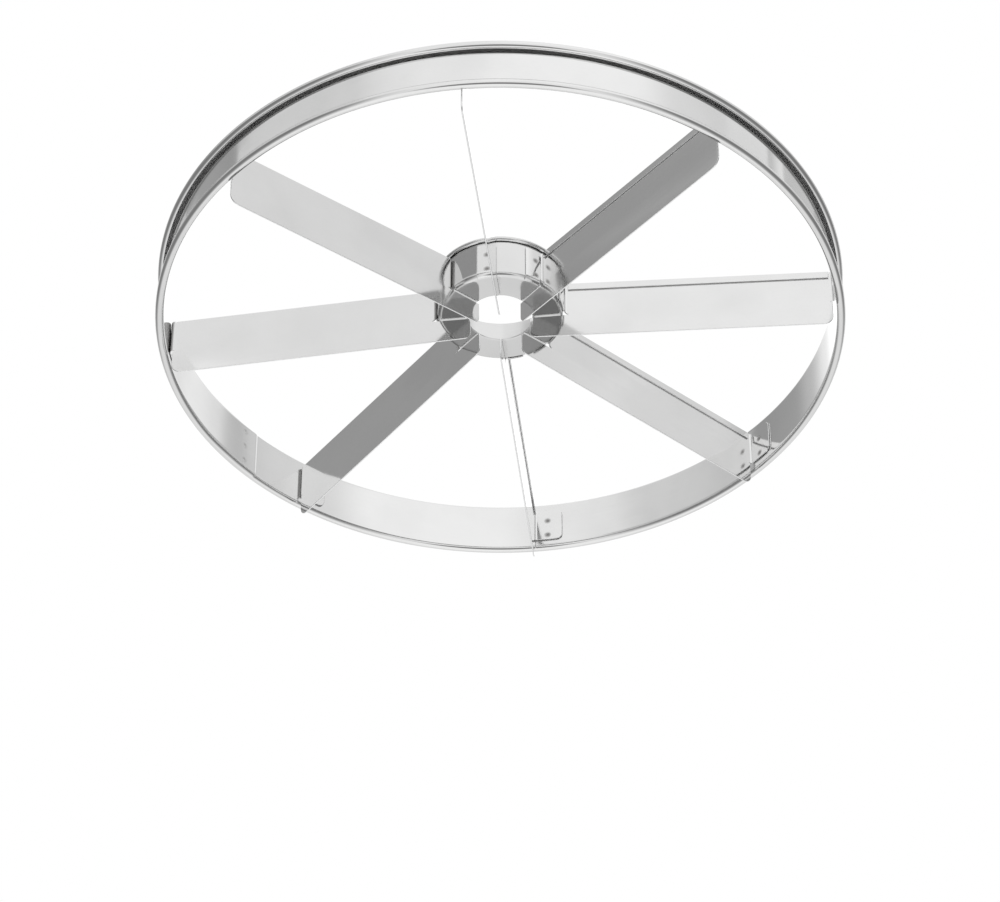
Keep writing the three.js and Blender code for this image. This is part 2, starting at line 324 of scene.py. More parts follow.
@dataclass(frozen=True)
class WeldSpot:
    """Shallow round dent that a spot weld leaves in a sheet."""

    along: float
    up: float
    radius: float = 1.2 * MM
    depth: float = 0.15 * MM
    halo: float = 1.35

    def _fall(self, along: np.ndarray, up: np.ndarray, reach: float) -> np.ndarray:
        """Falls from 1 at the weld's middle to 0 at a reach from it."""
        share = np.hypot(along - self.along, up - self.up) / reach
        return np.clip(1.0 - share**2, 0.0, None)

    def dent(self, along: np.ndarray, up: np.ndarray) -> np.ndarray:
        """Depth of the dent at places on the sheet."""
        return self.depth * self._fall(along, up, self.radius) ** 2

    def heat(self, along: np.ndarray, up: np.ndarray) -> np.ndarray:
        """Strength of the heat mark at places on the sheet, from 0 to 1."""
        return self._fall(along, up, self.radius * self.halo)


def unit(vectors: np.ndarray) -> np.ndarray:
    """Vectors brought to a length of 1."""
    return vectors / np.maximum(np.linalg.norm(vectors, axis=-1, keepdims=True), TINY)


def ray(angle: float) -> np.ndarray:
    """Level direction at an angle from +X."""
    return np.array([math.cos(angle), math.sin(angle), 0.0])


def ease(share: np.ndarray) -> np.ndarray:
    """Share that rises from 0 to 1 with level ends."""
    return share * share * (3.0 - 2.0 * share)


def arc(centre: Pair, radius: float, start: float, sweep: float, steps: int) -> list[Pair]:
    """Points on an arc.

    Args:
        centre: Middle of the arc.
        radius: Its radius.
        start: Angle of the first point, in radians.
        sweep: Angle turned, counter-clockwise if positive.
        steps: Number of chords.

    Returns:
        The points, both ends included.
    """
    x, y = centre
    angles = np.linspace(start, start + sweep, steps + 1)
    return [(x + radius * math.cos(angle), y + radius * math.sin(angle)) for angle in angles]


def straight(start: Pair, end: Pair, pitch: float) -> list[Pair]:
    """Evenly spaced points between two points, without the ends.

    Args:
        start: First end.
        end: Second end.
        pitch: Greatest distance between points.

    Returns:
        The inner points.
    """
    count = max(1, math.ceil(math.dist(start, end) / pitch))
    wide, tall = end[0] - start[0], end[1] - start[1]
    return [(start[0] + wide * step / count, start[1] + tall * step / count) for step in range(1, count)]


def join_columns(columns: list[list[Pair]]) -> tuple[list[Pair], list[list[int]]]:
    """Joins columns of points into quads.

    Args:
        columns: Columns from left to right, each from the bottom up.

    Returns:
        The points and the faces.
    """
    rows = len(columns[0])
    faces = []
    for column in range(1, len(columns)):
        for row in range(1, rows):
            last = column * rows + row
            faces.append([last - rows - 1, last - 1, last, last - rows])
    return [point for column in columns for point in column], faces


def ring_mesh(name: str, profile: np.ndarray, headings: np.ndarray, shift: np.ndarray | None = None) -> Mesh:
    """Turns a closed profile about Z.

    Args:
        name: The mesh's name.
        profile: Radius and height of each point, counter-clockwise with radius to the right.
        headings: Angles of the columns, in radians, rising through one turn.
        shift: Amount added to the radius at each heading and profile point.

    Returns:
        The closed mesh with its faces pointing out.
    """
    radius = np.broadcast_to(profile[:, 0], (len(headings), len(profile)))
    if shift is not None:
        radius = radius + shift
    x = radius * np.cos(headings)[:, None]
    y = radius * np.sin(headings)[:, None]
    z = np.broadcast_to(profile[:, 1], radius.shape)
    places = np.stack([x, y, z], axis=-1).reshape(-1, 3)
    columns, rows = radius.shape
    column, row = np.meshgrid(np.arange(columns), np.arange(rows), indexing="ij")
    after, above = (column + 1) % columns, (row + 1) % rows
    corners = np.stack(
        [column * rows + row, after * rows + row, after * rows + above, column * rows + above], axis=-1
    ).reshape(-1, 4)
    mesh = bpy.data.meshes.new(name)
    mesh.from_pydata(places.tolist(), [], corners.tolist())
    mesh.polygons.foreach_set("use_smooth", np.ones(len(corners), bool))
    mesh.set_sharp_from_angle(angle=SHARP_ANGLE)
    mesh.update()
    return mesh


def mark_rolls(mesh: Mesh, profile: np.ndarray, centres: Sequence[Pair], inside: float) -> None:
    """Makes the faces inside rolled edges bare, so that they take the dull grey with painted shade.

    Args:
        mesh: A mesh turned from the profile.
        profile: Radius and height of each point.
        centres: Middles of the rolls.
        inside: Radius of a roll's inner face.
    """
    reach = np.min(np.linalg.norm(profile[:, None] - np.array(centres), axis=2), axis=1)
    within = reach < inside * ROLL_SLACK
    kinds = np.where(within & np.roll(within, -1), Face.BARE.value, Face.POLISHED.value)
    mesh.polygons.foreach_set("material_index", np.tile(kinds, len(mesh.polygons) // len(profile)))


def add_weld_heat_and_shade_marks(mesh: Mesh, marks: np.ndarray) -> None:
    """Stores the weld heat marks and the painted shade at the blades' bends that the finish reads, one for
    each vertex.
    """
    made = mesh.attributes.new(WELD_HEAT_AND_BEND_SHADE, "FLOAT", "POINT")
    made.data.foreach_set("value", marks.astype(np.float32))


def place_piece(name: str, mesh: Mesh, node: str, turn: float = 0.0) -> Object:
    """Puts a mesh into the scene as the piece that stands for a node.

    Args:
        name: The piece's name.
        mesh: Its mesh.
        node: The node that it replaces.
        turn: Angle about Z, in radians.

    Returns:
        The new object.
    """
    piece = add_to_scene(name, mesh)
    piece.rotation_euler = (0.0, 0.0, turn)
    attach(piece, BODY)
    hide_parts(node)
    return piece


class FoldedSheet:
    """Middle surface of a folded sheet, gathered patch by patch and closed into a solid."""

    KEY_DIGITS = 7
    SMOOTH_CORNER = math.cos(math.radians(40.0))
    # Least divisor of a corner's inset, so that a very sharp corner isn't set in too far
    LEAST_SPREAD = 0.2

    def __init__(self, thickness: float, chamfer: float) -> None:
        """Starts an empty sheet.

        Args:
            thickness: The sheet's thickness.
            chamfer: Width of the broken corner along its cut edges.
        """
        self.half = thickness / 2
        self.chamfer = chamfer
        self.places: list[np.ndarray] = []
        self.normals: list[np.ndarray] = []
        self.marks: list[float] = []
        self.painted_back_shades: list[float] = []
        self.faces: list[list[int]] = []
        self.known: dict[tuple[float, ...], int] = {}

    def _number(self, place: np.ndarray, normal: np.ndarray, mark: float, painted_back_shade: float) -> int:
        """Finds the vertex at a place, and makes it if it is new.

        Args:
            place: The place.
            normal: The sheet's normal there.
            mark: Strength of the heat mark on the front.
            painted_back_shade: Strength of the painted shade on the back.

        Returns:
            The vertex's number.
        """
        key = tuple(np.round(place, self.KEY_DIGITS) + 0.0)
        if key not in self.known:
            self.known[key] = len(self.places)
            self.places.append(place)
            self.normals.append(normal)
            self.marks.append(mark)
            self.painted_back_shades.append(painted_back_shade)
        return self.known[key]

    def add(
        self,
        points: Sequence[Pair],
        faces: Sequence[Sequence[int]],
        onto: Callable[[float, float], Place],
        welds: Sequence[WeldSpot] = (),
        bend_shade: Callable[[np.ndarray], np.ndarray] = np.zeros_like,
    ) -> None:
        """Adds a patch of the flat blank.

        Args:
            points: Places on the blank.
            faces: Corner numbers, counter-clockwise on the blank.
            onto: Gives the folded place and normal of a place on the blank.
            welds: Spot welds on the patch.
            bend_shade: Gives the strength of the painted shade on the back at places along the blank.
        """
        along, up = np.array(points).T
        dents = sum((weld.dent(along, up) for weld in welds), np.zeros(len(along)))
        heat = np.max([np.zeros(len(along)), *(weld.heat(along, up) for weld in welds)], axis=0)
        numbers = []
        for point, dent, mark, painted_back_shade in zip(points, dents, heat, bend_shade(along)):
            place, normal = onto(*point)
            numbers.append(self._number(place - normal * dent, normal, mark, painted_back_shade))
        self.faces += [[numbers[corner] for corner in face] for face in faces]
        if welds:
            self._turn_dented(numbers, faces, dents)

    def _turn_dented(self, numbers: list[int], faces: Sequence[Sequence[int]], dents: np.ndarray) -> None:
        """Gives the vertices in a dent the normals of the dented surface.

        Args:
            numbers: The patch's vertices.
            faces: The patch's quads, as places in that list.
            dents: Depth of the dents at each vertex.
        """
        places = np.array([self.places[number] for number in numbers])
        first, second, third, fourth = np.array(faces).T
        across = np.cross(places[third] - places[first], places[fourth] - places[second])
        sums = np.zeros_like(places)
        for corner in (first, second, third, fourth):
            np.add.at(sums, corner, across)
        for index in np.flatnonzero(dents > 0):
            self.normals[numbers[index]] = unit(sums[index])

    def _rim(self) -> tuple[np.ndarray, np.ndarray]:
        """Follows the sheet's outline.

        Returns:
            The vertex at which each edge starts, and the number of the edge that comes after it.
        """
        edges = {(face[i - 1], face[i]) for face in self.faces for i in range(len(face))}
        onward = {start: end for start, end in edges if (end, start) not in edges}
        order = {start: index for index, start in enumerate(onward)}
        return np.array(list(onward)), np.array([order[end] for end in onward.values()])

    def mesh(self, name: str) -> Mesh:
        """Closes the sheet into a solid with broken corners along its cut edges.

        Args:
            name: The mesh's name.

        Returns:
            The mesh, with exact corner normals, face kinds, weld heat marks and painted shade at the bends.
        """
        places, normals = np.array(self.places), np.array(self.normals)
        starts, after = self._rim()
        ends, before = starts[after], np.argsort(after)
        first, last = normals[starts], normals[ends]
        outward = unit(np.cross(places[ends] - places[starts], first + last))
        agree = np.sum(outward * outward[before], axis=1)[:, None]
        both = outward + outward[before]
        inset = np.zeros_like(places)
        inset[starts] = -self.chamfer * both / np.maximum(1.0 + agree, self.LEAST_SPREAD)
        lip = (self.half - self.chamfer) * first
        top, bottom = places + normals * self.half + inset, places - normals * self.half + inset
        vertices = np.concatenate([top, bottom, places[starts] + lip, places[starts] - lip])

        count = len(places)
        faces: list[list[int]] = []
        corners: list[Sequence[float]] = []
        for face in self.faces:
            back = face[::-1]
            faces += [face, [corner + count for corner in back]]
            corners += [*normals[face], *-normals[back]]
        kinds = [Face.POLISHED.value] * len(faces)

        smooth = agree > self.SMOOTH_CORNER
        soft = unit(both)
        here = np.where(smooth, soft, outward)
        there = np.where(smooth[after], soft[after], outward)
        upper = 2 * count + np.arange(len(starts))
        lower = upper + len(starts)
        strips = np.array([
            [starts, upper, upper[after], ends],
            [upper, lower, lower[after], upper[after]],
            [lower, starts + count, ends + count, lower[after]],
        ])
        turns = np.array([
            [first, here, there, last],
            [here, here, there, there],
            [here, -first, -last, there],
        ])
        faces += strips.transpose(2, 0, 1).reshape(-1, 4).tolist()
        corners += turns.transpose(2, 0, 1, 3).reshape(-1, 3).tolist()
        kinds += [Face.BARE.value] * (len(faces) - len(kinds))

        mesh = bpy.data.meshes.new(name)
        mesh.from_pydata(vertices.tolist(), [], faces)
        mesh.polygons.foreach_set("material_index", kinds)
        mesh.polygons.foreach_set("use_smooth", np.ones(len(faces), bool))
        # The front's marks are weld heat marks; the back's are painted shade at the bends
        marks, painted_back_shades = np.array(self.marks), np.array(self.painted_back_shades)
        add_weld_heat_and_shade_marks(mesh, np.concatenate([marks, painted_back_shades, marks[starts], painted_back_shades[starts]]))
        mesh.normals_split_custom_set(corners)
        mesh.update()
        return mesh


@dataclass
class OuterRing:
    """Steel strip with both edges rolled outward, closed by a welded overlap."""

    radius: float
    low: float
    high: float
    sheet: float = 0.7 * MM
    bead: float = 3.6 * MM
    lap_heading: float = math.radians(146.5)
    lap_length: float = 13.0 * MM
    lap_runout: float = 22.0 * MM
    lap_edge: float = 1.4 * MM
    lap_step: float = 0.4 * MM
    lap_heat: float = 0.45
    weld_pitch: float = 7.9 * MM
    columns: int = 400
    edge_columns: int = 6
    weld_columns: int = 13
    roll_steps: int = 22
    wall_pitch: float = 0.42 * MM
    back_pitch: float = 2.52 * MM
    fine_pitch: float = 0.3 * MM
    finish: SteelFinish = RING_STRIP
    roll_shade_finish: BareFinish = ROLL_HOLLOW_SHADE

    @classmethod
    def from_frame(cls) -> "OuterRing":
        """Takes the ring's overall sizes from its node."""
        low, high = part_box("outer_ring")
        return cls(radius=high.x, low=low.z, high=high.z)

    @property
    def inner(self) -> float:
        """Radius of the wall's inner face."""
        return self.radius - self.bead

    @property
    def roll_hollow(self) -> float:
        """Radius of a roll's inner face."""
        return self.bead / 2 - self.sheet

    @property
    def rolls(self) -> tuple[Pair, Pair]:
        """Middles of the lower and the upper roll."""
        half = self.bead / 2
        return (self.inner + half, self.low + half), (self.inner + half, self.high - half)

    def _profile(self) -> tuple[np.ndarray, np.ndarray]:
        """Cross-section of the strip.

        Returns:
            The points, and the share of the overlap's step that each takes.
        """
        outer, inside = self.bead / 2, self.roll_hollow
        lower, upper = self.rolls
        middle, bottom = lower
        top = upper[1]
        wall = self.inner + self.sheet
        points = arc(lower, outer, math.pi, ROLL_SWEEP, self.roll_steps)
        points += arc(lower, inside, math.pi + ROLL_SWEEP, -ROLL_SWEEP, self.roll_steps // 2)
        points += straight((wall, bottom), (wall, top), self.back_pitch)
        points += arc(upper, inside, math.pi, -ROLL_SWEEP, self.roll_steps // 2)
        hidden = slice(self.roll_steps + 1, len(points))
        points += arc(upper, outer, math.pi - ROLL_SWEEP, ROLL_SWEEP, self.roll_steps)
        points += straight((self.inner, top), (self.inner, bottom), self.wall_pitch)
        profile = np.array(points)
        shares = np.clip((middle - profile[:, 0]) / outer, 0.0, 1.0)
        shares[hidden] = 0.0
        return profile, shares

    def _headings(self, weld: float) -> np.ndarray:
        """Spaces the columns, closer together at the overlap's edge and its row of welds.

        Args:
            weld: Angle of the row of welds.

        Returns:
            The columns' angles, in rising order.
        """
        even = np.arange(self.columns) * (FULL_TURN / self.columns)
        edge = self.lap_heading - np.linspace(1.0, 0.0, self.edge_columns) * (self.lap_edge / self.inner)
        steps = np.arange(self.weld_columns) - self.weld_columns // 2
        crowded = np.concatenate([edge, weld + steps * (self.fine_pitch / self.inner)])
        nearest = np.min(np.abs(even[:, None] - crowded[None, :]), axis=1)
        kept = even[nearest > self.fine_pitch / 2 / self.inner]
        return np.sort(np.concatenate([kept, crowded]))

    def build(self) -> Mesh:
        """Makes the ring's mesh.

        Returns:
            The closed mesh, with the overlap's step and weld dents on its inner face.
        """
        profile, shares = self._profile()
        headings = self._headings(self.lap_heading + self.lap_length / 2 / self.inner)
        past = (headings - self.lap_heading) * self.inner
        rise = np.clip(1.0 + past / self.lap_edge, 0.0, 1.0)
        runout = np.clip((past - self.lap_length) / self.lap_runout, 0.0, 1.0)
        step = ease(rise) * (1.0 - ease(runout))
        shift = -self.lap_step * step[:, None] * ease(shares)[None, :]
        along, up = np.meshgrid(past, profile[:, 1], indexing="ij")
        middle = (self.low + self.high) / 2
        heat = np.zeros_like(shift)
        for row in (-1, 0, 1):
            spot = WeldSpot(self.lap_length / 2, middle + row * self.weld_pitch)
            shift = shift + spot.dent(along, up) * (shares > 0)
            heat = np.maximum(heat, self.lap_heat * spot.heat(along, up) * (shares > 0))
        mesh = ring_mesh("outer_ring_strip", profile, headings, shift)
        mark_rolls(mesh, profile, self.rolls, self.roll_hollow)
        add_weld_heat_and_shade_marks(mesh, heat.ravel())
        return mesh

    def dress(self, mesh: Mesh) -> Object:
        """Gives the ring its finishes and puts it in place.

        Args:
            mesh: The ring's mesh.

        Returns:
            The placed piece.
        """
        for finish in (self.finish, self.roll_shade_finish):
            mesh.materials.append(finish.material())
        return place_piece("rolled_ring", mesh, "outer_ring")


@dataclass
class Hub:
    """Drawn cup with a holed bottom plate and a rim rolled outward."""

    rim_radius: float
    low: float
    high: float
    sheet: float = 0.7 * MM
    bead: float = 2.1 * MM
    bend: float = 1.2 * MM
    hole_radius: float = 13.1 * MM
    hole_round: float = 0.18 * MM
    columns: int = 288
    roll_steps: int = 18
    bend_steps: int = 10
    hole_steps: int = 3
    wall_pitch: float = 1.0 * MM
    finish: SteelFinish = HUB_STEEL_SHADED
    roll_shade_finish: BareFinish = ROLL_HOLLOW_SHADE

    @classmethod
    def from_frame(cls) -> "Hub":
        """Takes the hub's overall sizes from its node."""
        low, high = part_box("hub")
        return cls(rim_radius=high.x, low=low.z, high=high.z)

    @property
    def radius(self) -> float:
        """Radius of the wall's outer face."""
        return self.rim_radius - self.bead + self.sheet

    def build(self) -> Mesh:
        """Makes the hub's mesh.

        Returns:
            The closed mesh.
        """
        outer, inside = self.bead / 2, self.bead / 2 - self.sheet
        wall, plate = self.radius - self.sheet, self.low + self.sheet
        rim = (wall + outer, self.high - outer)
        bend = (wall - self.bend, plate + self.bend)
        edge = self.hole_radius + self.hole_round
        under, over = self.low + self.hole_round, plate - self.hole_round
        points = arc((edge, under), self.hole_round, math.pi, QUARTER, self.hole_steps)
        points += straight((edge, self.low), (bend[0], self.low), self.wall_pitch)
        points += arc(bend, self.bend + self.sheet, -QUARTER, QUARTER, self.bend_steps)
        points += straight((self.radius, bend[1]), (self.radius, rim[1]), self.wall_pitch)
        points += arc(rim, inside, math.pi, -ROLL_SWEEP, self.roll_steps // 2)
        points += arc(rim, outer, math.pi - ROLL_SWEEP, ROLL_SWEEP, self.roll_steps)
        points += straight((wall, rim[1]), (wall, bend[1]), self.wall_pitch)
        points += arc(bend, self.bend, 0.0, -QUARTER, self.bend_steps)
        points += straight((bend[0], plate), (edge, plate), self.wall_pitch)
        points += arc((edge, over), self.hole_round, QUARTER, QUARTER, self.hole_steps)
        profile = np.array(points)
        headings = np.arange(self.columns) * (FULL_TURN / self.columns)
        mesh = ring_mesh("hub_cup", profile, headings)
        mark_rolls(mesh, profile, [rim], inside)
        add_weld_heat_and_shade_marks(mesh, np.zeros(len(mesh.vertices)))
        return mesh

    def dress(self, mesh: Mesh) -> Object:
        """Gives the hub its finishes and puts it in place.

        Args:
            mesh: The hub's mesh.

        Returns:
            The placed piece.
        """
        for finish in (self.finish, self.roll_shade_finish):
            mesh.materials.append(finish.material())
        return place_piece("hub_cup", mesh, "hub")


@dataclass(frozen=True)
class Tab:
    """Flap at a blade's end, bent along the wall that it is welded to.

    Attributes:
        root: Height of its lower end at the bend.
        low: Height of its lower end along the wall.
        high: Height of its top.
        width: Width past the bend, with the free corners.
        corner: Radius of the free corners.
        weld: Distance of the welds past the bend.
        sink: Drop of the welds below the tab's middle.
        centre: Distance of the bend's axis along the blade.
        side: Distance of the bend's axis beside the radial line.
        wall: Radius of the sheet's middle along the wall.
        way: 1 at the ring, and -1 at the hub, where the blank runs the other way.
    """

    root: float
    low: float
    high: float
    width: float
    corner: float
    weld: float
    sink: float
    centre: float
    side: float
    wall: float
    way: int

    @property
    def heading(self) -> float:
        """Angle about the marker's axis at which the bend runs into the wall."""
        return math.atan2(self.side, self.centre)

    @property
    def sweep(self) -> float:
        """Angle that the bend turns through."""
        return QUARTER - self.way * self.heading


@dataclass
class Blade:
    """Folded sheet blank with a hemmed top edge, two welded tabs and a tongue under the hub."""

    ring: OuterRing
    hub: Hub
    tongue_end: float
    offset: float
    sheet: float = 0.6 * MM
    height: float = 28.4 * MM
    rise: float = 5.3 * MM
    hem_depth: float = 3.6 * MM
    hem_gap: float = 0.04 * MM
    bend_radius: float = 0.9 * MM
    ring_corner: float = 4.0 * MM
    tongue_corner: float = 2.8 * MM
    ring_tab_width: float = 10.8 * MM
    ring_tab_foot: float = 3.9 * MM
    ring_tab_weld: float = 4.5 * MM
    ring_tab_corner: float = 2.6 * MM
    ring_weld_sink: float = 1.8 * MM
    hub_tab_width: float = 6.8 * MM
    hub_tab_weld: float = 2.3 * MM
    hub_weld_sink: float = 2.4 * MM
    hub_lip_turn: float = math.radians(65.0)
    ear: float = 0.3 * MM
    relief: float = 0.35 * MM
    weld_pitch: float = 7.9 * MM
    seat_gap: float = 0.12 * MM
    tongue_gap: float = 0.6 * MM
    end_gap: float = 1.4 * MM
    chamfer: float = 0.16 * MM
    # Strength of the painted shade on the outside of the tabs' bends
    bend_shade_strength: float = 0.8
    arc_steps: int = 14
    tab_pitch: float = 0.36 * MM
    finish: SteelFinish = BLADE_SHEET
    edge_finish: BareFinish = SHEARED_EDGE

    @classmethod
    def from_frame(cls, ring: OuterRing, hub: Hub) -> "Blade":
        """Takes the blade's reach and side offset from the first blade's node.

        Args:
            ring: The ring that it is welded to.
            hub: The hub that it is welded to.

        Returns:
            The blade's sizes.
        """
        low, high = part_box("blade_1")
        return cls(ring=ring, hub=hub, tongue_end=low.x, offset=high.y - cls.sheet / 2)

    def __post_init__(self) -> None:
        """Works out the sizes that follow from the others."""
        self.end = self.ring.inner - self.end_gap
        self.slope = self.rise / (self.end - self.hub.radius)
        self.tilt = math.atan(self.slope)
        self.stretch = math.hypot(1.0, self.slope)
        self.fold = (self.sheet + self.hem_gap) / 2
        self.bend = self.bend_radius + self.sheet / 2
        bend_side = self.offset - self.bend
        ring_wall = self.ring.inner - self.seat_gap - self.sheet / 2
        hub_wall = self.hub.radius + self.seat_gap + self.sheet / 2
        self.ring_bend = math.sqrt((ring_wall - self.bend) ** 2 - bend_side**2)
        self.hub_bend = math.sqrt((hub_wall + self.bend) ** 2 - bend_side**2)
        self.hem_start = self.hub_bend + self.ear + self.relief
        self.hem_end = self.ring_bend - self.ear - self.relief
        self.tongue_top = self.hub.low - self.tongue_gap
        ring_foot = self.ring.low + self.ring_tab_foot
        self.ring_tab = Tab(
            root=ring_foot,
            low=ring_foot,
            high=self.lower_edge(self.end) + self.height,
            width=self.ring_tab_width,
            corner=self.ring_tab_corner,
            weld=self.ring_tab_weld,
            sink=self.ring_weld_sink,
            centre=self.ring_bend,
            side=bend_side,
            wall=ring_wall,
            way=1,
        )
        self.hub_tab = Tab(
            root=self.tongue_top + self.relief,
            low=self.hub.low + self.hub.sheet + self.hub.bend,
            high=self.lower_edge(self.hub_bend) + self.height,
            width=self.hub_tab_width,
            corner=0.0,
            weld=self.hub_tab_weld,
            sink=self.hub_weld_sink,
            centre=self.hub_bend,
            side=bend_side,
            wall=hub_wall,
            way=-1,
        )

    def lower_edge(self, radius: float) -> float:
        """Height of the marking edge at a radius; its rounded outer corner touches zero."""
        drop = self.ring_corner * (self.slope + self.stretch - 1.0)
        return self.slope * (self.end - radius) - drop

    def fold_line(self, radius: float) -> float:
        """Height at which the hem starts to turn over."""
        return self.lower_edge(radius) + self.height - (self.fold + self.sheet / 2) * self.stretch

    def _on_plate(self, along: float, up: float) -> Place:
        """Place and normal on the upright plate."""
        return np.array([along, self.offset, up]), np.array([0.0, -1.0, 0.0])

    def _on_hem(self, along: float, past: float) -> Place:
        """Folds the hem's blank over and down beside the plate.

        Args:
            along: Distance along the blade.
            past: Distance past the fold line.

        Returns:
            The place and the normal.
        """
        turn = min(past / self.fold, math.pi)
        flat = max(past - math.pi * self.fold, 0.0)
        side = self.offset - self.fold * (1.0 - math.cos(turn))
        up = self.fold * math.sin(turn) - flat
        leaned = np.array([math.sin(self.tilt), 0.0, math.cos(self.tilt)])
        place = np.array([along, side, self.fold_line(along)]) + up * leaned
        return place, -math.sin(turn) * leaned - np.array([0.0, math.cos(turn), 0.0])

    def _on_tab(self, tab: Tab) -> Callable[[float, float], Place]:
        """Folds a tab's blank round its bend and along its wall.

        Args:
            tab: The tab.

        Returns:
            A function from blank to place and normal.
        """

        def onto(past: float, up: float) -> Place:
            """Folds one point of the tab's blank.

            Args:
                past: Distance past the start of the bend, negative at the hub.
                up: Height.

            Returns:
                The place and the normal.
            """
            turn = tab.way * past / self.bend
            if turn <= tab.sweep:
                out = ray(QUARTER - tab.way * turn)
                return np.array([tab.centre, tab.side, up]) + self.bend * out, -out
            out = ray(tab.heading - (turn - tab.sweep) * self.bend / tab.wall)
            return tab.wall * out + np.array([0.0, 0.0, up]), -tab.way * out

        return onto

    def _tab_rows(self, tab: Tab, low: float, high: float) -> np.ndarray:
        """Heights of a tab's rows between a column's ends."""
        return np.linspace(low, high, math.ceil((tab.high - tab.low) / self.tab_pitch) + 1)

    def _flat_columns(self, tab: Tab) -> np.ndarray:
        """Spaces the columns across a tab's flat.

        Args:
            tab: The tab.

        Returns:
            Distances past the start of the bend, from its end to the free edge or the rounded corners.
        """
        bend = self.bend * tab.sweep
        width = tab.width - tab.corner
        return np.linspace(bend, bend + width, math.ceil(width / self.tab_pitch) + 1)

    def _plate_outline(self) -> list[Pair]:
        """Draws the upright plate with its tongue, corners and relief slits.

        Returns:
            The outline's points, counter-clockwise.
        """
        ring, hub = self.ring_tab, self.hub_tab
        turn = 3 * QUARTER - self.tilt
        tongue = self.tongue_end + self.tongue_corner
        corner = self.end - self.ring_corner
        tongue_height = self.lower_edge(tongue) + self.tongue_corner * self.stretch
        corner_height = self.lower_edge(corner) + self.ring_corner * self.stretch
        slit_ring, slit_hub = self.hem_end + self.relief, self.hem_start - self.relief
        fold_ring, fold_hub = self.fold_line(self.hem_end), self.fold_line(self.hem_start)
        points = [(self.tongue_end, self.tongue_top)]
        points += arc((tongue, tongue_height), self.tongue_corner, math.pi, turn - math.pi, self.arc_steps)
        points += arc((corner, corner_height), self.ring_corner, turn, FULL_TURN - turn, self.arc_steps)
        points += [
            (self.end, ring.low - self.relief),
            (self.ring_bend - self.relief, ring.low - self.relief),
            (self.ring_bend - self.relief, ring.low),
        ]
        points += [(self.ring_bend, up) for up in self._tab_rows(ring, ring.root, ring.high)]
        points += [
            (slit_ring, ring.high),
            (slit_ring, fold_ring - self.relief),
            (self.hem_end, fold_ring - self.relief),
            (self.hem_end, fold_ring),
            (self.hem_start, fold_hub),
            (self.hem_start, fold_hub - self.relief),
            (slit_hub, fold_hub - self.relief),
            (slit_hub, hub.high),
        ]
        points += [(self.hub_bend, up) for up in self._tab_rows(hub, hub.root, hub.high)[::-1]]
        points += [(self.hub_bend + self.relief, hub.root), (self.hub_bend + self.relief, self.tongue_top)]
        return points

    def _add_hem(self, sheet: FoldedSheet) -> None:
        """Adds the hem, turned over along the top edge.

        Args:
            sheet: The blade's sheet.
        """
        turned = math.pi * self.fold
        flap = self.hem_depth - self.fold - self.sheet / 2
        rows = [*np.linspace(0.0, turned, self.arc_steps + 1), turned + flap]
        grid = [[(along, past) for past in rows] for along in (self.hem_start, self.hem_end)]
        sheet.add(*join_columns(grid), self._on_hem)

    def _add_tab(self, sheet: FoldedSheet, tab: Tab) -> None:
        """Adds a tab with its bend, free corners and two spot welds.

        Args:
            sheet: The blade's sheet.
            tab: The tab.
        """
        flat = self._flat_columns(tab)
        bend = flat[0]
        shares = np.linspace(0.0, 1.0, self.arc_steps + 1)
        columns = [(bend * share, tab.root + (tab.low - tab.root) * share, tab.high) for share in shares]
        columns += [(past, tab.low, tab.high) for past in flat[1:]]
        for turn in QUARTER * shares[1:] if tab.corner else ():
            cut = tab.corner * (1.0 - math.cos(turn))
            columns.append((flat[-1] + tab.corner * math.sin(turn), tab.low + cut, tab.high - cut))
        grid = []
        for past, low, high in columns[::tab.way]:
            grid.append([(tab.way * past, up) for up in self._tab_rows(tab, low, high)])
        middle = (tab.low + tab.high) / 2 - tab.sink
        half = self.weld_pitch / 2
        welds = [WeldSpot(tab.way * (bend + tab.weld), middle + step) for step in (-half, half)]

        def bend_shade(along: np.ndarray) -> np.ndarray:
            """Strength of the painted shade on the outside of the bend, strongest at its middle."""
            share = np.clip(np.abs(along) / bend, 0.0, 1.0)
            return self.bend_shade_strength * np.sin(math.pi * share) ** 0.5

        sheet.add(*join_columns(grid), self._on_tab(tab), welds, bend_shade)

    def _add_lip(self, sheet: FoldedSheet, tab: Tab) -> None:
        """Adds the hub tab's lower end, turned in round the hub's bend.

        Args:
            sheet: The blade's sheet.
            tab: The hub's tab.
        """
        radius = self.hub.bend + self.hub.sheet + self.seat_gap + self.sheet / 2
        on_wall = self._on_tab(tab)

        def onto(past: float, wrap: float) -> Place:
            """Folds one point of the lip's blank.

            Args:
                past: Distance past the start of the tab's bend, negative at the hub.
                wrap: Distance round the hub's bend.

            Returns:
                The place and the normal.
            """
            turn = wrap / radius
            place, normal = on_wall(past, tab.low)
            drop = np.array([0.0, 0.0, math.sin(turn)])
            return place - radius * ((1.0 - math.cos(turn)) * normal + drop), math.cos(turn) * normal - drop

        wraps = np.linspace(radius * self.hub_lip_turn, 0.0, self.arc_steps + 1)
        grid = [[(tab.way * past, wrap) for wrap in wraps] for past in self._flat_columns(tab)[::tab.way]]
        sheet.add(*join_columns(grid), onto)

    def build(self) -> Mesh:
        """Makes the blade's mesh, along +X.

        Returns:
            The closed mesh.
        """
        sheet = FoldedSheet(self.sheet, self.chamfer)
        outline = self._plate_outline()
        sheet.add(outline, [list(range(len(outline)))], self._on_plate)
        self._add_hem(sheet)
        for tab in (self.ring_tab, self.hub_tab):
            self._add_tab(sheet, tab)
        self._add_lip(sheet, self.hub_tab)
        return sheet.mesh("blade_sheet")

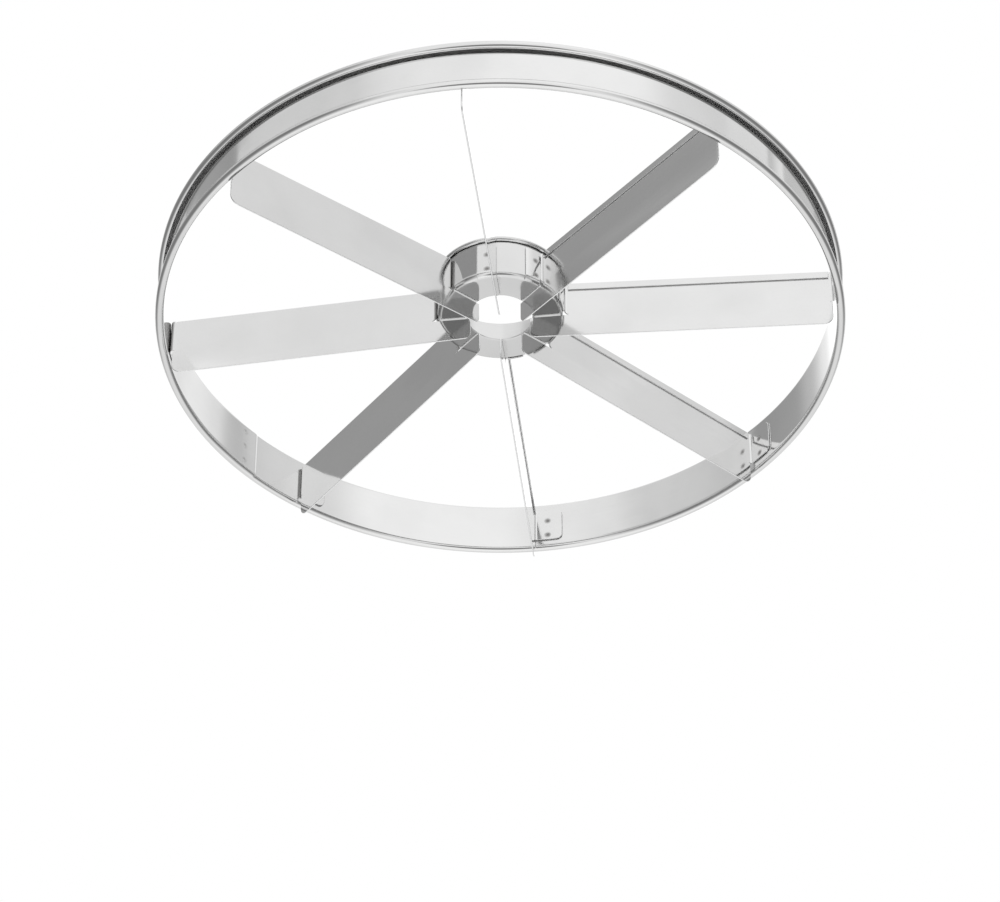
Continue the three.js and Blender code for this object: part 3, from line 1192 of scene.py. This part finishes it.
    def dress(self, mesh: Mesh, nodes: Sequence[str]) -> list[Object]:
        """Gives the blades their finishes and puts them in place round the axis.

        Args:
            mesh: The blade's mesh.
            nodes: The blades' nodes, in order round the axis.

        Returns:
            The placed pieces.
        """
        for finish in (self.finish, self.edge_finish):
            mesh.materials.append(finish.material())
        step = FULL_TURN / len(nodes)
        return [
            place_piece(f"marking_{node}", mesh, node, index * step)
            for index, node in enumerate(nodes)
        ]


@dataclass(frozen=True)
class Panel:
    """Stretch of the studio's surround, named by its heading in degrees and its brightness."""

    heading: float
    tone: float


@dataclass(frozen=True)
class GreyCard:
    """Upright card, bent round the marker between two headings in degrees, that only metal shows: a glowing
    grey that puts painted reflections, mostly of shade, into the metal.
    """

    start: float
    end: float
    low: float
    high: float
    tone: float
    radius: float = 0.367
    steps: int = 16

    def build(self) -> None:
        """Makes the card, facing the marker."""
        made, graph = new_material("painted_reflection_card")
        graph.show(graph.add("Emission", {"Color": grey(self.tone)}).outputs[0])
        start, sweep = math.radians(self.start), math.radians(self.end - self.start)
        foot = arc((0.0, 0.0), self.radius, start, sweep, self.steps)
        corners = [(*point, height) for point in foot for height in (self.low, self.high)]
        faces = [(column, column + 2, column + 3, column + 1) for column in range(0, 2 * self.steps, 2)]
        mesh = bpy.data.meshes.new("painted_reflection_card")
        mesh.from_pydata(corners, [], faces)
        mesh.materials.append(made)
        card = add_to_scene("painted_reflection_card", mesh)
        card.visible_camera = card.visible_diffuse = card.visible_shadow = False


@dataclass
class Studio:
    """Pale floor, soft surround, soft lamp, grey cards and the camera.

    Angles are in degrees. Each edge is the pair of values between which one tone gives way to another,
    as the part of a direction that points up, aside, away from the camera or towards it.
    """

    azimuth: float = 6.77
    elevation: float = -42.73
    distance: float = 1.686
    focal_pixels: float = 4164.0
    axis_pixel: Pair = (500.27, 348.02)
    sensor: float = 36.0
    clip: Pair = (0.05, 50.0)
    mirror_bounces: int = 8
    floor_size: float = 8.0
    floor_tone: float = 0.86
    floor_fade: Pair = (0.5, 1.8)
    lamp_size: float = 1.6
    lamp_place: Triple = (-0.5, -0.6, 2.4)
    lamp_power: float = 13.0
    top_edge: Pair = (0.75, 0.97)
    below_edge: Pair = (0.5, 0.2)
    below_tones: Pair = (0.98, 0.88)
    away_edge: Pair = (-0.75, 0.75)
    under_tone: float = 1.05
    under_edge: Pair = (-0.72, -0.88)
    side_tone: float = 0.54
    side_edge: Pair = (0.36, 0.7)
    wing_tone: float = 0.24
    wing_edge: Pair = (0.55, 0.8)
    wing_rise: Pair = (-0.85, -0.5)
    lens_tone: float = 0.24
    lens_edge: Pair = (0.91, 0.968)
    panels: tuple[Panel, ...] = (
        Panel(0.0, 0.80), Panel(12.0, 0.74), Panel(22.0, 0.58), Panel(30.0, 0.92), Panel(52.0, 1.0),
        Panel(66.0, 0.88), Panel(76.0, 1.25), Panel(114.0, 1.25), Panel(125.0, 0.95), Panel(141.0, 0.57),
        Panel(153.0, 0.40), Panel(176.0, 0.36), Panel(182.0, 0.66), Panel(222.0, 0.76), Panel(242.0, 0.94),
        Panel(254.0, 1.0), Panel(266.0, 1.0), Panel(276.0, 1.07), Panel(322.0, 1.07), Panel(342.0, 0.84),
        Panel(360.0, 0.80),
    )
    cards: tuple[GreyCard, ...] = (
        GreyCard(start=160.0, end=236.0, low=0.31, high=0.385, tone=0.35),
        GreyCard(start=237.0, end=262.0, low=0.30, high=0.385, tone=0.89),
        GreyCard(start=192.0, end=236.0, low=0.20, high=0.30, tone=0.77),
        GreyCard(start=-14.0, end=4.0, low=0.20, high=0.32, tone=0.86),
        GreyCard(start=12.0, end=33.0, low=0.20, high=0.32, tone=0.62),
        GreyCard(start=33.0, end=60.0, low=0.20, high=0.32, tone=0.45),
    )

    def _back(self) -> Vector:
        """Direction from the marker to the camera."""
        turn, rise = math.radians(self.azimuth), math.radians(self.elevation)
        return Vector((math.sin(turn) * math.cos(rise), -math.cos(turn) * math.cos(rise), math.sin(rise)))

    def add_camera(self) -> None:
        """Makes the camera at the photograph's viewing angle."""
        data = bpy.data.cameras.new("camera")
        data.sensor_width = self.sensor
        data.lens = self.focal_pixels / PHOTO_WIDTH * self.sensor
        data.clip_start, data.clip_end = self.clip
        camera = add_to_scene("camera", data)
        back = self._back()
        aim = (-back).to_track_quat("-Z", "Y").to_matrix().to_4x4()
        off_x = math.atan((self.axis_pixel[0] - PHOTO_WIDTH / 2) / self.focal_pixels)
        off_y = math.atan((PHOTO_HEIGHT / 2 - self.axis_pixel[1]) / self.focal_pixels)
        nod = Matrix.Rotation(off_x, 4, "Y") @ Matrix.Rotation(-off_y, 4, "X")
        camera.matrix_world = Matrix.Translation(back * self.distance) @ aim @ nod
        bpy.context.scene.camera = camera

    def _floor_material(self) -> Material:
        """Builds the floor's finish.

        Returns:
            A pale material that fades to white far out, and is clear from below and in mirror images.
        """
        made, graph = new_material("studio_floor")
        geometry = graph.add("NewGeometry")
        far = graph.add("VectorMath", {0: geometry.outputs["Position"]}, operation="LENGTH")
        pale = graph.add("BsdfDiffuse", {"Color": grey(self.floor_tone)})
        white = graph.add("Emission", {"Strength": 1.0})
        clear = graph.add("BsdfTransparent")
        fade = graph.spread(far.outputs["Value"], self.floor_fade)
        sweep = graph.blend(fade, pale.outputs[0], white.outputs[0])
        mirrored = graph.add("LightPath").outputs["Is Glossy Ray"]
        hidden = graph.math("MAXIMUM", geometry.outputs["Backfacing"], mirrored)
        graph.show(graph.blend(hidden, sweep, clear.outputs[0]))
        return made

    def add_floor(self) -> None:
        """Makes the floor under the blades' lowest corners."""
        half = self.floor_size / 2
        mesh = bpy.data.meshes.new("floor")
        corners = [(-half, -half, 0.0), (half, -half, 0.0), (half, half, 0.0), (-half, half, 0.0)]
        mesh.from_pydata(corners, [], [(0, 1, 2, 3)])
        mesh.materials.append(self._floor_material())
        floor = add_to_scene("floor", mesh)

    def _panel_ring(self, graph: ShaderGraph, x: NodeSocket, y: NodeSocket) -> NodeSocket:
        """Sets the panels round the marker by their headings.

        Args:
            graph: The world's nodes.
            x: Part of a direction along X.
            y: Its part along Y.

        Returns:
            The panels' colour in that direction.
        """
        share = graph.math("DIVIDE", graph.math("ARCTAN2", y, x), FULL_TURN)
        share = graph.math("FRACT", graph.math("ADD", share, 1.0))
        ramp = graph.add("ValToRGB", {"Fac": share})
        ramp.color_ramp.interpolation = "EASE"
        stops = ramp.color_ramp.elements
        inner = [stops.new(panel.heading / 360.0) for panel in self.panels[1:-1]]
        for stop, panel in zip((stops[0], *inner, stops[-1]), self.panels):
            stop.color = grey(panel.tone)
        return ramp.outputs["Color"]

    def _lower_half(self, graph: ShaderGraph, direction: NodeSocket, height: NodeSocket) -> NodeSocket:
        """Sets the tones below the marker: darker at both sides and round the lens.

        Args:
            graph: The world's nodes.
            direction: A direction.
            height: Its part that points up.

        Returns:
            The lower surround's colour in that direction.
        """
        turn = math.radians(self.azimuth)
        away = graph.facing(direction, (-math.sin(turn), math.cos(turn), 0.0))
        aside = graph.math("ABSOLUTE", graph.facing(direction, (math.cos(turn), math.sin(turn), 0.0)))
        lens = graph.facing(direction, tuple(self._back()))
        near, far = self.below_tones
        wing = graph.spread(aside, self.wing_edge)
        wing = graph.math("MULTIPLY", wing, graph.spread(height, self.wing_rise))
        colour = graph.mix(graph.spread(away, self.away_edge), grey(near), grey(far))
        colour = graph.mix(graph.spread(height, self.under_edge), colour, grey(self.under_tone))
        colour = graph.mix(graph.spread(aside, self.side_edge), colour, grey(self.side_tone))
        colour = graph.mix(wing, colour, grey(self.wing_tone))
        return graph.mix(graph.spread(lens, self.lens_edge), colour, grey(self.lens_tone))

    def add_surround(self) -> None:
        """Makes the world: white to the camera, a soft ring of panels to the metal."""
        world = bpy.data.worlds.new("studio")
        bpy.context.scene.world = world
        world.use_nodes = True
        graph = ShaderGraph(world.node_tree)
        direction = graph.add("TexCoord").outputs["Generated"]
        x, y, height = graph.add("SeparateXYZ", {0: direction}).outputs
        above = graph.mix(graph.spread(height, self.top_edge), self._panel_ring(graph, x, y), WHITE)
        below = self._lower_half(graph, direction, height)
        soft = graph.mix(graph.spread(height, self.below_edge), above, below)
        seen = graph.add("LightPath").outputs["Is Camera Ray"]
        shown = graph.mix(seen, soft, WHITE)
        background = graph.add("Background", {"Color": shown, "Strength": 1.0})
        graph.show(background.outputs[0], "OutputWorld")

    def add_lamp(self) -> None:
        """Makes the soft lamp overhead."""
        data = bpy.data.lights.new("soft_lamp", "AREA")
        data.size = self.lamp_size
        data.energy = self.lamp_power
        lamp = add_to_scene("soft_lamp", data)
        lamp.visible_glossy = False
        lamp.location = self.lamp_place
        lamp.rotation_euler = (-Vector(self.lamp_place)).to_track_quat("-Z", "Y").to_euler()

    def build(self) -> None:
        """Sets the whole stage."""
        self.add_camera()
        self.add_floor()
        self.add_surround()
        self.add_lamp()
        for card in self.cards:
            card.build()
        bpy.context.scene.view_settings.view_transform = "Standard"
        bpy.context.scene.cycles.glossy_bounces = self.mirror_bounces


def main() -> None:
    """Builds and dresses the marker's pieces in order, sets the stage and reports the pieces."""
    logging.basicConfig(level=logging.INFO, format="%(name)s: %(message)s")
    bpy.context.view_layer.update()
    ring = OuterRing.from_frame()
    hub = Hub.from_frame()
    blade = Blade.from_frame(ring, hub)
    nodes = sorted(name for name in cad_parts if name.startswith("blade_"))
    pieces = [ring.dress(ring.build()), hub.dress(hub.build()), *blade.dress(blade.build(), nodes)]
    Studio().build()
    for piece in pieces:
        log.info("%s: %d faces", piece.name, len(piece.data.polygons))


if __name__ == "__main__":
    main()
